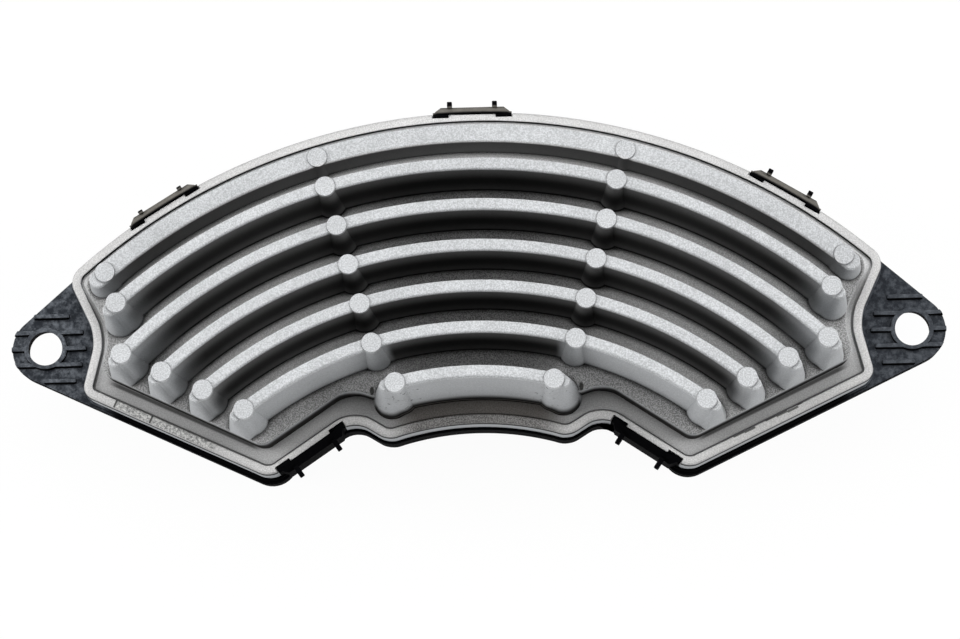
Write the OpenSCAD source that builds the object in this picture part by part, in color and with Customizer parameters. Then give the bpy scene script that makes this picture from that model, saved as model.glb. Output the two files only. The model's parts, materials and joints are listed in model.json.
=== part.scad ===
// Blower motor resistor: a finned die-cast heat sink that closes a moulded
// housing with two fixing ears. Fins point up (+Z), the connector opens
// downwards. The origin lies midway between the fixing holes, in the plane of
// the ear ribs, which seat against the duct.

/* [Fixing] */
// Distance between the two fixing holes
hole_spacing = 140; // [136:1:160]
// Radius of a fixing hole
hole_r = 2.75; // [2:0.05:3.5]
// Radius of the rounded end of an ear
ear_r = 5.5; // [4.5:0.1:7]
// Thickness of an ear without its ribs
ear_t = 3; // [2.5:0.1:3.6]
// Height of the ribs and of the ring around the hole
rib_h = 0.8; // [0.4:0.1:1.5]
// Width of a rib
rib_w = 0.8; // [0.5:0.1:1.5]
// Distance between neighbouring ribs
rib_pitch = 2.65; // [2:0.05:4]
// Width of the ring around a fixing hole
ring_w = 0.75; // [0.5:0.05:2]

/* [Plate outline] */
// Distance of the fins' common centre below the fixing holes
arc_drop = 60; // [58:0.5:62]
// Radius of the plate's upper edge
top_r = 96.5; // [90:0.5:100]
// Radius of the plate's lower middle edge
low_r = 45.6; // [44:0.2:47]
// Angle from the middle at which the upper edge turns down
shoulder_a = 41; // [37:0.5:43]
// Lean of the plate's sides above the waist
side_lean = 25.4; // [15:0.2:30]
// Thickness of the plate
plate_t = 3.6; // [2.5:0.1:5]
// Height of the raised rim on the plate
rim_h = 0.9; // [0.4:0.1:2]
// Width of the raised rim
rim_w = 1.5; // [1:0.1:2]
// Distance of the plateau from the plate's upper edge
shelf_top = 3.3; // [2.5:0.1:4]
// Distance of the plateau from the plate's lower middle edge
shelf_low = 4.3; // [3.5:0.1:5]

/* [Fins] */
// Top of the plateau that carries the fins
plateau_z = 9.4; // [8.6:0.1:12]
// Top of the full fins
fin_z = 21.4; // [17:0.1:28]
// Top of the low fin along the upper edge
low_fin_z = 15.2; // [12:0.1:16.5]
// Distance of the low fin from the plateau's upper edge
low_fin_in = 3.1; // [2.6:0.1:3.6]
// Distance from the low fin to the first full fin
low_fin_gap = 6.02; // [5.8:0.02:7]
// Distance between neighbouring full fins
fin_pitch = 6.42; // [5.9:0.02:6.6]
// Distance of the short fin from the plateau's lower edge
short_fin_in = 1.6; // [1.2:0.1:2]
// Least distance between the short fin and a full fin
short_fin_gap = 6; // [5.5:0.1:6.1]
// Thickness of a fin at its top
fin_t = 1.9; // [1.2:0.1:2.2]
// Thickness of the low fin at its top
low_fin_t = 2.5; // [1.5:0.1:2.7]
// Draft of the fins' sides
fin_draft = 3.6; // [1:0.1:5]
// Distance of a fin's end pin from the plateau's lower side
end_in_low = 3.15; // [2.8:0.05:4]
// Distance of a fin's end pin from the plateau's upper side
end_in_side = 4.35; // [3.5:0.05:5.5]
// Angle of the inner pins from the middle
mid_pin_a = 15.6; // [10:0.1:20]
// Angle of the pins on the short fin
short_pin_a = 13.7; // [8:0.1:15]
// Radius of an ejector pin's mark
pin_r = 1.55; // [1.2:0.05:1.8]
// Height by which a pin's mark stands above its fin
pin_proud = 0.3; // [0.1:0.05:0.6]
// Length of a fin beyond its end pin
fin_tail = 1.4; // [1:0.1:1.6]

/* [Housing] */
// Depth of the housing below the plate
housing_h = 20; // [18.5:0.5:30]
// Depth of the wide band below the plate
band_h = 4.5; // [4:0.5:8]
// Overhang of the band beyond the plate
band_out = 0.2; // [0.05:0.05:0.8]
// Setback of the housing's lower body
body_in = 2; // [1:0.1:2.4]
// Wall thickness of the housing
wall_t = 2; // [1.5:0.1:2.4]
// Length of a snap arm
arm_l = 12; // [8:0.5:14]
// Thickness of a snap arm
arm_t = 0.8; // [0.6:0.1:1.5]
// Reach of a snap arm's hook over the plate
hook_l = 0.75; // [0.4:0.05:1]
// Angle of the outer snap arms from the middle
arm_a = 31.4; // [25:0.1:34]
// Clearance between a snap arm and the plate
arm_gap = 0.15; // [0.05:0.05:0.4]

/* [Connector] */
// Width of the socket's opening
socket_w = 46; // [44:1:60]
// Height of the socket's opening
socket_h = 13; // [12:0.5:16]
// Depth of the socket
socket_d = 10; // [8:0.5:11]
// Distance of the blades' plane above the fins' centre
socket_rise = 72; // [71:0.5:74]
// Width of a power blade
blade_w = 6.3; // [4.8:0.1:7]
// Thickness of the blades
blade_t = 0.8; // [0.6:0.1:1.2]
// Distance between neighbouring power blades
blade_pitch = 9.6; // [8:0.1:10]
// Distance of the control pin from the last power blade
control_gap = 6; // [5:0.1:6.5]

/* [Power devices] */
// Depth of the pocket under the plateau
pocket_d = 5; // [4.8:0.1:6]
// Wall between the pocket and the plateau's sides
pocket_wall = 3.5; // [3:0.1:3.7]
// Thickness of the insulating pads
pad_t = 0.3; // [0.1:0.05:0.5]
// Overhang of a pad around its device
pad_rim = 0.6; // [0.2:0.1:0.8]
// Distance of the transistors from the middle
power_x = 28; // [26:0.5:28.5]
// Width of a transistor
transistor_w = 15.8; // [14:0.1:16]
// Length of a transistor
transistor_l = 15.5; // [14:0.5:16]
// Distance between a transistor's leads
transistor_pitch = 5.45; // [4:0.05:5.6]
// Width of the diode
diode_w = 10; // [8:0.1:11]
// Length of the diode
diode_l = 15.5; // [14:0.5:16]
// Distance between the diode's leads
diode_pitch = 2.54; // [2.3:0.02:3]
// Thickness of the devices
device_t = 4.6; // [4.3:0.1:4.7]
// Thickness of the spring strips
spring_t = 0.8; // [0.5:0.1:0.9]
// Width of the spring strips
spring_w = 8; // [6:0.5:8.5]

/* [Board] */
// Thickness of the circuit board
board_t = 1.6; // [1:0.1:2]
// Distance of the board's top below the plate
board_drop = 5; // [4.5:0.5:6]
// Clearance between the board and the housing's walls
board_gap = 0.5; // [0.2:0.1:1]
// Nominal diameter of all screws
screw_d = 3; // [2.5:0.1:3.2]
// Diameter of a board post
post_d = 6.4; // [5:0.1:7]
// Radius of the capacitors
can_r = 3.6; // [3:0.1:3.8]
// Length of the capacitors
can_l = 16; // [12:0.5:16]
// Radius of the choke
choke_r = 5.8; // [4.5:0.1:5.9]
// Height of the choke
choke_h = 8; // [6:0.2:9]
// Length of the shunt
shunt_l = 12; // [9:0.5:13]
// Length of the fuse's body
fuse_l = 10; // [8:0.5:11]
// General clearance between inner pieces
gap = 0.1; // [0.05:0.05:0.2]

/* [Hidden] */
$fn = 64;
arc_fn = 256;
arc_y = -arc_drop;
slope = tan(fin_draft);
tail_bulge = 0.1;
tail_step = 0.4;
fin_sink = 0.6;
plateau_r = top_r - shelf_top;
plateau_low_r = low_r + shelf_low;
low_fin_r = plateau_r - low_fin_in;
short_fin_r = plateau_low_r + short_fin_in;
last_fin_r = low_fin_r - low_fin_gap;
full_fin_count = 1 + floor((last_fin_r - short_fin_r - short_fin_gap) / fin_pitch);
full_fins = [for (k = [0:full_fin_count - 1]) last_fin_r - k * fin_pitch];
waist_clear = 4;
rim_z = plate_t + rim_h;
cavity_in = body_in + wall_t;
board_in = cavity_in + board_gap;
board_z = -board_drop;
board_low_z = board_z - board_t;
floor_z = wall_t - housing_h;
pad_z = pocket_d - pad_t;
device_z = pad_z - device_t;
lead_w = 1;
lead_t = 0.6;
lead_run = 4;
power_y = arc_y + 54.6;
diode_y = arc_y + 62.9;
socket_y = arc_y + socket_rise;
blades = ["supply_blade", "ground_blade", "motor_feed_blade", "motor_return_blade"];
black = [0.10, 0.10, 0.11];
tin = [0.80, 0.79, 0.75];

// Each clamp as [x and y of its device, signed distance to its screw]
clamp_reach = 12;
diode_reach = 11;
clamp_rise = 12.8;
clamps = [
    [-power_x, power_y + clamp_rise, clamp_reach],
    [power_x, power_y + clamp_rise, -clamp_reach],
    [0, diode_y + clamp_rise, -diode_reach]
];
screw_bite = 3;
thread_l = 8;

// Corner points as [x, y, corner radius], right half, from the lower middle up
low_corner = [33.2, arc_y + 37.6];
arch_corner = [19.8, arc_y + 46.6];
outer_corner = [63.4, arc_y + 51.7];
plate_waist = [61.1, arc_y + 61];
leg_r = 3.2;
plate_half = [
    [13.9, arc_y + 43, 1.6], [arch_corner.x, arch_corner.y, 4],
    [low_corner.x, low_corner.y, leg_r], [outer_corner.x, outer_corner.y, 2.2],
    [plate_waist.x, plate_waist.y, 7],
    shoulder(top_r, shoulder_a, plate_waist, 3), peak(top_r, shoulder_a)
];
side_start = [33.8, arc_y + 42.1];
side_end = [59.5, arc_y + 54.4];
plateau_waist = [58.4, arc_y + 60.6];
plateau_half = [
    [11.6, arc_y + 46.8, 0.6], [20.3, arc_y + 51.1, 5],
    [side_start.x, side_start.y, 2.2], [side_end.x, side_end.y, 2],
    [plateau_waist.x, plateau_waist.y, 7],
    shoulder(plateau_r, shoulder_a, plateau_waist, 3), peak(plateau_r, shoulder_a)
];

// Places on the board, tied to the corners that they stand beside
upper_post = plate_waist + [-8.6, 1.5];
lower_post = low_corner + [2.8, 9.9];
posts = [upper_post, lower_post];
can_gap = 7.4;
can_y = arc_y + 59;
choke_at = lower_post + [6.6, 9.5];
fuse_at = [8 - upper_post.x, upper_post.y - 4.5];
shunt_at = [-5 - lower_post.x, lower_post.y + 7.5];
driver_at = [-14, arc_y + 64.9];
suppressor_at = [9.7, arc_y + 65.2];
chip_pitch = 3.4;
low_row_y = can_y - can_r - 2.2;
mid_row_y = driver_at.y - 0.4;
high_row_y = driver_at.y + 2.6;

// Point at radius r and angle a from the middle line, about the fins' centre
function polar(r, a) = [r * sin(a), arc_y + r * cos(a)];

// Where the line from p along u meets the line from q along v
function meet(p, u, q, v) = p + u * cross(q - p, v) / cross(u, v);

// Corner between an upper edge and a side that leans out from its waist
function shoulder(r, a, waist, corner_r) =
    let (p = meet(polar(r, a), [cos(a), -sin(a)], waist, [sin(side_lean), cos(side_lean)]))
    [p.x, p.y, corner_r];

// Point above the middle where both shoulders' tangents meet
function peak(r, a) = [0, arc_y + r / cos(a), 0];

function unit(v) = v / norm(v);
function left_of(v) = [-v.y, v.x];
function mirrored(half) = [for (i = [len(half) - 2:-1:0]) [-half[i].x, half[i].y, half[i][2]]];

// Angle at which the arc of radius r comes within d of the line from p along u
function arc_end(r, p, u, d) =
    let (n = left_of(unit(u)))
    atan2(n.x, n.y) + acos((d + n * p + n.y * arc_drop) / r);

// Angle of a fin's end pin: beside the lower side, or beside the upper one
function fin_end(r) =
    let (
        low_a = arc_end(r, side_start, side_end - side_start, end_in_low),
        side_a = arc_end(r, plateau_waist, [sin(side_lean), cos(side_lean)], end_in_side)
    )
    polar(r, low_a).y < plateau_waist.y - waist_clear ? low_a : side_a;

// Centre of the circle of radius r that touches both sides of the corner b
function round_centre(a, b, c, r) =
    let (u = unit(a - b), v = unit(c - b))
    b + unit(u + v) * r / sqrt((1 - u * v) / 2);

// Corner b between a and c, moved inwards by d and rounded to radius r
function corner(a, b, c, r, d) =
    let (
        u = unit(b - a),
        v = unit(c - b),
        n = left_of(u),
        m = left_of(v),
        tip = b + d * (n + m) / (1 + n * m),
        turn = asin(cross(u, v)),
        side = sign(turn),
        round_r = max(r - side * d, 0.3),
        start = tip - u * round_r * tan(abs(turn) / 2),
        centre = start + side * round_r * n,
        steps = max(2, ceil(abs(turn) / 8))
    )
    r == 0 ? [tip] : [
        for (i = [0:steps])
            let (w = turn * i / steps, k = start - centre)
            centre + [k.x * cos(w) - k.y * sin(w), k.x * sin(w) + k.y * cos(w)]
    ];

// Closed outline from the right half of its corners, moved inwards by d
function outline(half, d) =
    let (
        all = concat(half, mirrored(half)),
        n = len(all),
        xy = [for (p = all) [p.x, p.y]]
    )
    [
        for (i = [0:n - 1])
            each corner(xy[(i + n - 1) % n], xy[i], xy[(i + 1) % n], all[i][2], d)
    ];

// Slab between z0 and z1, with the fins' centre as centre of both long edges
module slab(half, upper_r, lower_r, d, z0, z1) {
    difference() {
        intersection() {
            translate([0, 0, z0])
                linear_extrude(z1 - z0)
                    polygon(outline(half, d));
            translate([0, arc_y, z0 - 1])
                cylinder(r = upper_r - d, h = z1 - z0 + 2, $fn = arc_fn);
        }
        translate([0, arc_y, z0 - 1])
            cylinder(r = lower_r + d, h = z1 - z0 + 2, $fn = arc_fn);
    }
}

module plate_slab(d, z0, z1) {
    slab(plate_half, top_r, low_r, d, z0, z1);
}

module plateau_slab(d, z0, z1) {
    slab(plateau_half, plateau_r, plateau_low_r, d, z0, z1);
}

// Drafted column whose top is an ejector pin's mark
module pin_column(r, a, foot_z, top_z) {
    h = top_z + pin_proud - foot_z;
    translate([polar(r, a).x, polar(r, a).y, foot_z])
        cylinder(r1 = pin_r + h * slope, r2 = pin_r, h = h);
}

// Drafted fin along an arc, with rounded tails beyond its end pins
module fin(r, end_a, t, foot_z, top_z) {
    h = top_z - foot_z;
    tail_a = end_a + fin_tail / r * 180 / PI;
    tail_r = t / 2 + tail_bulge;
    translate([0, arc_y, foot_z])
        rotate([0, 0, 90 - end_a])
            rotate_extrude(angle = 2 * end_a, $fn = arc_fn)
                polygon([
                    [r - t / 2 - h * slope, 0], [r + t / 2 + h * slope, 0],
                    [r + t / 2, h], [r - t / 2, h]
                ]);
    for (side = [-1, 1]) {
        translate([polar(r, side * tail_a).x, polar(r, side * tail_a).y, foot_z])
            cylinder(r1 = tail_r + h * slope, r2 = tail_r, h = h - tail_step);
        pin_column(r, side * end_a, foot_z, top_z);
    }
}

// Fin along the whole arc, with two more pins beside the middle
module long_fin(r, t, top_z) {
    foot_z = plateau_z - fin_sink;
    fin(r, fin_end(r), t, foot_z, top_z);
    for (side = [-1, 1])
        pin_column(r, side * mid_pin_a, foot_z, top_z);
}

module fins() {
    for (r = full_fins)
        long_fin(r, fin_t, fin_z);
    long_fin(low_fin_r, low_fin_t, low_fin_z);
    fin(short_fin_r, short_pin_a, fin_t, plate_t - fin_sink, fin_z);
}

// Places its children at each snap arm, with +Y pointing away from the plate
module at_arms() {
    for (a = [-arm_a, 0, arm_a])
        translate([polar(top_r, a).x, polar(top_r, a).y, 0])
            rotate([0, 0, -a])
                children();
    mid = (arch_corner + low_corner) / 2;
    run = low_corner - arch_corner;
    away = atan2(run.y, run.x) + 180;
    for (side = [0, 1])
        mirror([side, 0, 0])
            translate([mid.x, mid.y, 0])
                rotate([0, 0, away])
                    children();
}

module heat_sink() {
    notch_l = arm_l + 2 * arm_gap;
    notch_w = 4;
    overlap = 0.5;
    color([0.80, 0.80, 0.78])
        difference() {
            union() {
                plate_slab(0, 0, plate_t);
                difference() {
                    plate_slab(0, plate_t - overlap, rim_z);
                    plate_slab(rim_w, plate_t, rim_z + 1);
                }
                plateau_slab(0, plate_t - overlap, plateau_z);
                fins();
            }
            plateau_slab(pocket_wall, -1, pocket_d);
            at_arms()
                translate([-notch_l / 2, -hook_l - arm_gap, plate_t])
                    cube([notch_l, notch_w, rim_h + 1]);
            for (c = clamps)
                translate([c.x + c[2], c.y, pocket_d - 1])
                    cylinder(d = screw_d + gap, h = 1 + screw_bite + 4 * gap);
        }
}

// Ear plate, its seating ribs and the ring around its hole, on the right side.
// The plate's lower edge runs on below the leg and turns around its foot.
module ear() {
    x = hole_spacing / 2;
    upper_a = 41.5;
    lower_a = 25.2;
    upper = [x + ear_r * sin(upper_a), ear_r * cos(upper_a)];
    lower = [x + ear_r * sin(lower_a), -ear_r * cos(lower_a)];
    top_in = upper + 13 * [-cos(upper_a), sin(upper_a)];
    heel = round_centre(arch_corner, low_corner, outer_corner, leg_r);
    down = [sin(lower_a), -cos(lower_a)];
    heel_r = down * (lower - heel);
    low_in = heel + heel_r * down;
    rib_in = 7.2;
    rib_l = 14;
    short_rib_l = 9;
    rib_down = 0.3;
    z = -rib_h;
    module blank(h) {
        translate([x, 0, 0])
            cylinder(r = ear_r, h = h);
        translate(heel)
            cylinder(r = heel_r, h = h);
        linear_extrude(h)
            polygon([upper, top_in, [x - 20, top_in.y], heel, low_in, lower]);
    }
    translate([0, 0, z - ear_t])
        blank(ear_t);
    translate([x, 0, z - 1])
        cylinder(r = hole_r + ring_w, h = rib_h + 1);
    intersection() {
        translate([0, 0, z - 1])
            blank(rib_h + 1);
        for (k = [-2:2])
            translate([x - rib_in, k * rib_pitch - rib_w / 2 - rib_down, z - 1])
                cube([abs(k) == 2 ? short_rib_l : rib_l, rib_w, rib_h + 1]);
    }
}

// Plan of a snap arm from y0 outwards, with chamfered outer ends
module arm_plan(y0) {
    y1 = arm_gap + arm_t;
    chamfer = 1.2 * arm_t;
    x = arm_l / 2;
    polygon([[-x, y0], [x, y0], [x, arm_gap], [x - chamfer, y1], [chamfer - x, y1], [-x, arm_gap]]);
}

module snap_arm() {
    hook_z = plate_t + gap;
    top_z = rim_z + 0.5;
    foot_z = 1 - band_h;
    peg = [0.8, 1.4, 1];
    peg_x = 3.65;
    translate([0, 0, foot_z])
        linear_extrude(top_z - foot_z)
            arm_plan(arm_gap);
    translate([0, 0, foot_z])
        linear_extrude(band_h - 1.5)
            arm_plan(-1);
    translate([0, 0, hook_z])
        linear_extrude(top_z - hook_z)
            arm_plan(-hook_l);
    for (side = [-1, 1])
        translate([side * peg_x - peg.x / 2, arm_gap + arm_t - 0.2, top_z - 0.4 - peg.z])
            cube(peg);
}

module housing() {
    block_w = socket_w + 2 * wall_t;
    block_h = socket_h + 2 * wall_t;
    end_wall = 1.5;
    color(black)
        difference() {
            union() {
                difference() {
                    union() {
                        plate_slab(-band_out, -band_h, 0);
                        plate_slab(body_in, -housing_h, 0);
                        ear();
                        mirror([1, 0, 0])
                            ear();
                    }
                    plate_slab(cavity_in, floor_z, 1);
                }
                at_arms()
                    snap_arm();
                translate([-block_w / 2, socket_y - block_h / 2, -housing_h])
                    cube([block_w, block_h, socket_d + end_wall]);
                at_posts(floor_z - 0.5)
                    cylinder(d = post_d, h = board_low_z - floor_z + 0.5);
            }
            translate([-socket_w / 2, socket_y - socket_h / 2, -housing_h - 1])
                cube([socket_w, socket_h, socket_d + 1]);
            blade_slots();
            for (side = [-1, 1])
                translate([side * hole_spacing / 2, 0, -rib_h - ear_t - 1])
                    cylinder(r = hole_r, h = ear_t + rib_h + 2);
            at_posts(board_z - thread_l - 0.5)
                cylinder(d = screw_d + gap, h = thread_l + 1);
        }
}

// Places its children at each board post, at height z
module at_posts(z) {
    for (p = posts, side = [-1, 1])
        translate([side * p.x, p.y, z])
            children();
}

function blade_x(i) = (i - 1.5) * blade_pitch;
control_x = blade_x(len(blades) - 1) + control_gap;

// Opening for one blade through the socket's end wall and the board
module blade_slot(x, w) {
    translate([x - w / 2 - gap / 2, socket_y - blade_t / 2 - gap / 2, -housing_h + socket_d - 1])
        cube([w + gap, blade_t + gap, housing_h]);
}

module blade_slots() {
    for (i = [0:len(blades) - 1])
        blade_slot(blade_x(i), blade_w);
    blade_slot(control_x, blade_t);
}

module blade(x, w) {
    tip_in = 1;
    above_board = 1.2;
    color([0.82, 0.80, 0.72])
        translate([x - w / 2, socket_y - blade_t / 2, tip_in - housing_h])
            cube([w, blade_t, housing_h - tip_in + board_z + above_board]);
}

module circuit_board() {
    color([0.12, 0.36, 0.20])
        difference() {
            plate_slab(board_in, board_low_z, board_z);
            blade_slots();
            at_posts(board_low_z - 1)
                cylinder(d = screw_d + 4 * gap, h = board_t + 2);
            for (x = [-power_x, power_x])
                lead_holes(x, power_y, transistor_pitch);
            lead_holes(0, diode_y, diode_pitch);
        }
}

module lead_holes(x, y, pitch) {
    for (k = [-1:1])
        translate([x + k * pitch, y, board_low_z - 1])
            cylinder(r = norm([lead_w, lead_t]) / 2 + gap, h = board_t + 2);
}

// Flat power device with three bent leads; y is where the leads turn down
module device(x, y, w, l, pitch) {
    lead_z = device_z + 2;
    lead_end_z = board_low_z - 1;
    tab_t = 1;
    body_share = 0.72;
    color(black)
        difference() {
            translate([x - w / 2, y + lead_run, device_z])
                cube([w, l, device_t]);
            translate([x - w / 2 - 1, y + lead_run + l * body_share, device_z - 1])
                cube([w + 2, l, device_t - tab_t + 1]);
        }
    color(tin)
        for (k = [-1:1]) {
            translate([x + k * pitch - lead_w / 2, y - lead_t / 2, lead_z])
                cube([lead_w, lead_run + lead_t, lead_t]);
            translate([x + k * pitch - lead_w / 2, y - lead_t / 2, lead_end_z])
                cube([lead_w, lead_t, lead_z + lead_t - lead_end_z]);
        }
}

module left_transistor() {
    device(-power_x, power_y, transistor_w, transistor_l, transistor_pitch);
}

module right_transistor() {
    device(power_x, power_y, transistor_w, transistor_l, transistor_pitch);
}

module freewheel_diode() {
    device(0, diode_y, diode_w, diode_l, diode_pitch);
}

// Insulating pad behind a device of width w and length l
module pad(x, y, w, l) {
    color([0.72, 0.74, 0.78])
        translate([x - w / 2 - pad_rim, y + lead_run - pad_rim, pad_z])
            cube([w + 2 * pad_rim, l + 2 * pad_rim, pad_t]);
}

module left_pad() {
    pad(-power_x, power_y, transistor_w, transistor_l);
}

module right_pad() {
    pad(power_x, power_y, transistor_w, transistor_l);
}

module diode_pad() {
    pad(0, diode_y, diode_w, diode_l);
}

// Spring strip from its heel on the heat sink, past the screw, onto a device
module clamp(c) {
    heel = abs(c[2]) + spring_w / 2;
    tip = -3;
    z = device_z - spring_t;
    color([0.62, 0.63, 0.64])
        translate([c.x, c.y, 0])
            mirror([c[2] < 0 ? 1 : 0, 0, 0])
                difference() {
                    translate([0, spring_w / 2, 0])
                        rotate([90, 0, 0])
                            linear_extrude(spring_w)
                                polygon([
                                    [tip, z], [heel, z], [heel, pocket_d],
                                    [heel - spring_t, pocket_d], [heel - spring_t, device_z],
                                    [tip, device_z]
                                ]);
                    translate([abs(c[2]), 0, z - 1])
                        cylinder(d = screw_d + 4 * gap, h = spring_t + 2);
                }
}

module left_clamp() {
    clamp(clamps[0]);
}

module right_clamp() {
    clamp(clamps[1]);
}

module diode_clamp() {
    clamp(clamps[2]);
}

// Pan-head screw that points up from its head's seat at the origin
module screw(shank) {
    head_h = 2;
    head_d = 1.9 * screw_d;
    recess = [0.56 * head_d, 0.7, 1];
    color([0.70, 0.70, 0.72])
        difference() {
            union() {
                cylinder(d = screw_d, h = shank);
                translate([0, 0, -head_h])
                    cylinder(d = head_d, h = head_h);
            }
            for (a = [0, 90])
                rotate([0, 0, a])
                    translate([-recess.x / 2, -recess.y / 2, -head_h - 0.5])
                        cube(recess + [0, 0, 0.5]);
        }
}

module clamp_screws() {
    for (c = clamps)
        translate([c.x + c[2], c.y, device_z - spring_t])
            screw(pocket_d - device_z + spring_t + screw_bite);
}

module board_screws() {
    at_posts(board_z)
        rotate([180, 0, 0])
            screw(thread_l);
}

// Electrolytic can lying along X on the board, with a crimp near one end
module capacitor(x) {
    edge = 0.5;
    crimp = 0.4;
    crimp_at = 1.6;
    color([0.16, 0.17, 0.22])
        translate([x - can_l / 2, can_y, board_z + can_r])
            rotate([0, 90, 0])
                rotate_extrude()
                    polygon([
                        [0, 0], [can_r - edge, 0], [can_r, edge], [can_r, crimp_at],
                        [can_r - crimp, crimp_at + crimp], [can_r - crimp, crimp_at + 1],
                        [can_r, crimp_at + 1 + crimp], [can_r, can_l - edge],
                        [can_r - edge, can_l], [0, can_l]
                    ]);
}

module left_capacitor() {
    capacitor(-(can_l + can_gap) / 2);
}

module right_capacitor() {
    capacitor((can_l + can_gap) / 2);
}

choke_neck = 2.6;
choke_flange = 1.4;

module choke_core() {
    color([0.22, 0.22, 0.23])
        translate([choke_at.x, choke_at.y, board_z])
            rotate_extrude()
                polygon([
                    [0, 0], [choke_r, 0], [choke_r, choke_flange], [choke_neck, choke_flange],
                    [choke_neck, choke_h - choke_flange], [choke_r, choke_h - choke_flange],
                    [choke_r, choke_h], [0, choke_h]
                ]);
}

module choke_winding() {
    wire = 0.6;
    groove = 0.25;
    turns = floor((choke_h - 2 * choke_flange - 2 * gap) / wire);
    inner = choke_neck + gap;
    outer = choke_r - 0.9;
    color([0.72, 0.42, 0.20])
        translate([choke_at.x, choke_at.y, board_z + choke_flange + gap])
            rotate_extrude()
                polygon(concat(
                    [[inner, 0]],
                    [
                        for (k = [0:turns - 1], half = [0, 1])
                            [outer - groove * (1 - half), (k + half / 2) * wire]
                    ],
                    [[outer - groove, turns * wire], [inner, turns * wire]]
                ));
}

// Bridge of resistance strip over the board
module current_shunt() {
    w = 4;
    h = 4;
    t = 0.8;
    foot = 2;
    half = shunt_l / 2;
    color([0.60, 0.52, 0.44])
        translate([shunt_at.x, shunt_at.y, board_z])
            rotate([90, 0, 0])
                linear_extrude(w)
                    polygon([
                        [-half, 0], [foot - half, 0], [foot - half, h - t], [half - foot, h - t],
                        [half - foot, 0], [half, 0], [half, t], [half - foot + t, t],
                        [half - foot + t, h], [foot - t - half, h], [foot - t - half, t], [-half, t]
                    ]);
}

// Axial fuse body on two bent wires
module thermal_fuse() {
    r = 2;
    wire_r = 0.4;
    wire_run = 2;
    rise = 3.4;
    translate([fuse_at.x, fuse_at.y, board_z]) {
        color([0.86, 0.84, 0.76])
            translate([-fuse_l / 2, 0, rise])
                rotate([0, 90, 0])
                    cylinder(r = r, h = fuse_l, $fn = 32);
        color(tin)
            for (side = [-1, 1]) {
                translate([side * fuse_l / 2 - wire_run, 0, rise])
                    rotate([0, 90, 0])
                        cylinder(r = wire_r, h = 2 * wire_run, $fn = 24);
                translate([side * (fuse_l / 2 + wire_run - wire_r), 0, 0])
                    cylinder(r = wire_r, h = rise + wire_r, $fn = 24);
            }
    }
}

// Small resin body that stands on tinned legs along Y, one pitch apart
module driver_chip() {
    size = [5, 4, 1.5];
    leg = [0.42, 6, 0.3];
    leg_pitch = 1.27;
    legs = 4;
    translate([driver_at.x, driver_at.y, board_z]) {
        color(black)
            translate([0, 0, leg.z / 2])
                cube(size);
        color(tin)
            for (k = [0:legs - 1])
                translate([
                    size.x / 2 + (k - (legs - 1) / 2) * leg_pitch - leg.x / 2,
                    (size.y - leg.y) / 2, 0
                ])
                    cube(leg);
    }
}

module suppressor_diode() {
    size = [4.6, 3.6, 1.6];
    leg = [6, 2, 0.3];
    translate([suppressor_at.x, suppressor_at.y, board_z]) {
        color(black)
            translate([0, 0, leg.z / 2])
                cube(size);
        color(tin)
            translate([(size.x - leg.x) / 2, (size.y - leg.y) / 2, 0])
                cube(leg);
    }
}

// Row of small chip parts along X
module chip_row(x, y, count, size) {
    for (k = [0:count - 1])
        translate([x + k * chip_pitch, y, board_z])
            cube(size);
}

module chip_resistors() {
    size = [2, 1.25, 0.5];
    color(black) {
        chip_row(-24, high_row_y, 3, size);
        chip_row(17, high_row_y, 4, size);
        chip_row(4 - upper_post.x, high_row_y - 2, 2, size);
    }
}

module ceramic_capacitors() {
    size = [2, 1.25, 1.1];
    color([0.66, 0.55, 0.40]) {
        chip_row(-24, mid_row_y, 2, size);
        chip_row(18, mid_row_y, 3, size);
        chip_row(-8, low_row_y, 5, size);
    }
}

module supply_blade() {
    blade(blade_x(0), blade_w);
}

module ground_blade() {
    blade(blade_x(1), blade_w);
}

module motor_feed_blade() {
    blade(blade_x(2), blade_w);
}

module motor_return_blade() {
    blade(blade_x(3), blade_w);
}

module control_pin() {
    blade(control_x, blade_t);
}

heat_sink();
housing();
circuit_board();
left_transistor();
right_transistor();
freewheel_diode();
left_pad();
right_pad();
diode_pad();
left_clamp();
right_clamp();
diode_clamp();
clamp_screws();
board_screws();
left_capacitor();
right_capacitor();
choke_core();
choke_winding();
current_shunt();
thermal_fuse();
driver_chip();
suppressor_diode();
chip_resistors();
ceramic_capacitors();
supply_blade();
ground_blade();
motor_feed_blade();
motor_return_blade();
control_pin();
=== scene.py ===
# %% [markdown]
# A blower motor resistor sits in a car's air duct and sets the fan's speed. What is seen
# of it from the duct side is a die-cast aluminium heat sink with curved cooling fins, held
# by snap arms in a black moulded housing with two fixing ears. This lesson starts from the
# finished construction model, which gives every place and size, and gives it its looks.

# %% Load the frame
import json
import math

import bmesh
import bpy
from mathutils import Matrix, Vector


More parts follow.
